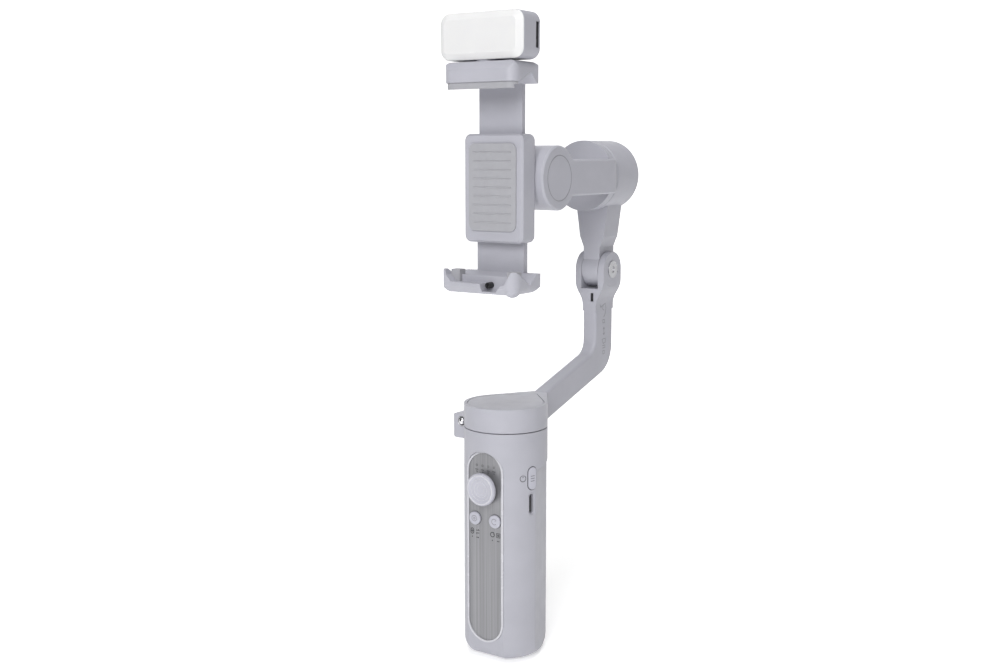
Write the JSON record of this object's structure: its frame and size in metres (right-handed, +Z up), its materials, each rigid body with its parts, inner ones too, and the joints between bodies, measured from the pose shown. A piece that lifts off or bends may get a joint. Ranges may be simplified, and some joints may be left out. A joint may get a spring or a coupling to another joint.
{
  "type": "gimbal stabilizer",
  "caption": "Handheld phone stabilizer: grip with joystick and buttons, panning arm, roll and tilt motors, spring clamp and a clip-on fill light.",
  "frame": {"origin": "centre of the handle's base, at the mouth of the tripod thread, on the pan axis", "axes": "+Z up along the handle and the pan axis, +X to the user's right, +Y away from the user"},
  "size_m": [0.0468, 0.1124, 0.2795],
  "materials": {
    "shell": "satin lavender-grey moulded plastic",
    "panel": "fine vertical brushing",
    "trim": "light satin rim",
    "buttons": "satin, slightly lighter than the shell",
    "black_plastic": "matt black",
    "rubber": "soft grey rubber",
    "diffuser": "milky white, translucent",
    "steel": "turned steel",
    "chrome": "polished ball",
    "brass": "threaded insert",
    "copper_stack": "wound stator",
    "board": "printed circuit board",
    "battery": "shrink-wrapped cell",
    "lamp": "clear status lamp"
  },
  "bodies": {
    "handle": {"handle_shell": "shell", "bottom_plate": "shell", "tripod_insert": "brass", "face_panel": "panel", "panel_trim": "trim", "status_lights": "lamp", "joystick_base": "black_plastic", "tact_switches": "black_plastic", "usb_port": "shell", "battery_cell": "battery", "main_board": "board", "pan_motor_mount": "black_plastic", "top_cover": "black_plastic", "pan_stator": "copper_stack", "pan_bearings": "steel"},
    "joystick_cradle": {"joystick_cradle": "black_plastic"},
    "joystick": {"joystick_cap": "buttons", "joystick_stem": "black_plastic"},
    "button_left": {"button_left": "buttons"},
    "button_right": {"button_right": "buttons"},
    "mode_button": {"mode_button": "buttons"},
    "pan_arm": {"pan_arm": "shell", "arm_cover": "shell", "arm_slit_insert": "black_plastic", "cap_lid": "shell", "lock_lug": "shell", "fold_pin": "steel", "pan_bell": "steel", "pan_magnets": "steel", "pan_shaft": "steel"},
    "lock_ball": {"lock_ball": "chrome"},
    "fold_arm": {"fold_arm": "shell", "roll_back_cover": "shell", "roll_cover_screws": "steel", "roll_stator": "copper_stack", "roll_bearings": "steel"},
    "roll_arm": {"roll_arm": "shell", "tilt_housing": "shell", "tilt_stator": "copper_stack", "tilt_bearings": "steel", "roll_bell": "steel", "roll_magnets": "steel", "roll_shaft": "steel"},
    "clamp": {"clamp_body": "shell", "clamp_pad": "rubber", "lower_jaw": "shell", "lower_pad": "rubber", "jaw_screw": "black_plastic", "tilt_bell": "steel", "tilt_magnets": "steel", "tilt_shaft": "steel"},
    "upper_jaw": {"upper_jaw": "shell", "upper_pad": "rubber"},
    "fill_light": {"light_housing": "shell", "light_diffuser": "diffuser", "light_board": "board", "light_socket": "black_plastic", "light_foot": "shell"},
    "light_button": {"light_button": "buttons"}
  },
  "joints": [
    {"name": "stick_up_down", "type": "hinge", "parent": "handle", "child": "joystick_cradle", "pos_m": [0, -0.0115, 0.0777], "axis": [1, 0, 0], "range_deg": [-10, 10], "stiffness_Nm_per_rad": 0.02},
    {"name": "stick_left_right", "type": "hinge", "parent": "joystick_cradle", "child": "joystick", "pos_m": [0, -0.0115, 0.0777], "axis": [0, 0, 1], "range_deg": [-10, 10], "stiffness_Nm_per_rad": 0.02},
    {"name": "button_left_press", "type": "slide", "parent": "handle", "child": "button_left", "axis": [0, 1, 0], "range_m": [0, 0.0006], "stiffness_N_per_m": 800},
    {"name": "button_right_press", "type": "slide", "parent": "handle", "child": "button_right", "axis": [0, 1, 0], "range_m": [0, 0.0006], "stiffness_N_per_m": 800},
    {"name": "mode_press", "type": "slide", "parent": "handle", "child": "mode_button", "axis": [-0.9511, 0.309, 0], "range_m": [0, 0.0005], "stiffness_N_per_m": 800},
    {"name": "pan_turn", "type": "hinge", "parent": "handle", "child": "pan_arm", "pos_m": [0, 0, 0.1], "axis": [0, 0, 1], "range_deg": [-160, 160]},
    {"name": "lock_ball_press", "type": "slide", "parent": "pan_arm", "child": "lock_ball", "axis": [0, 1, 0], "range_m": [0, 0.0008], "stiffness_N_per_m": 500},
    {"name": "fold_hinge", "type": "hinge", "parent": "pan_arm", "child": "fold_arm", "pos_m": [0, 0.0811, 0.166], "axis": [-1, 0, 0], "range_deg": [0, 95]},
    {"name": "roll_turn", "type": "hinge", "parent": "fold_arm", "child": "roll_arm", "pos_m": [0, 0.078, 0.2112], "axis": [0, 1, 0], "range_deg": [-160, 160]},
    {"name": "tilt_turn", "type": "hinge", "parent": "roll_arm", "child": "clamp", "pos_m": [0, 0.014, 0.2112], "axis": [1, 0, 0], "range_deg": [-60, 60]},
    {"name": "jaw_slide", "type": "slide", "parent": "clamp", "child": "upper_jaw", "axis": [0, 0, 1], "range_m": [-0.019, 0.012]},
    {"name": "light_lift", "type": "slide", "parent": "upper_jaw", "child": "fill_light", "axis": [0, 0, 1], "range_m": [0, 0.02]},
    {"name": "light_press", "type": "slide", "parent": "fill_light", "child": "light_button", "axis": [0, -1, 0], "range_m": [0, 0.0005], "stiffness_N_per_m": 800}
  ]
}
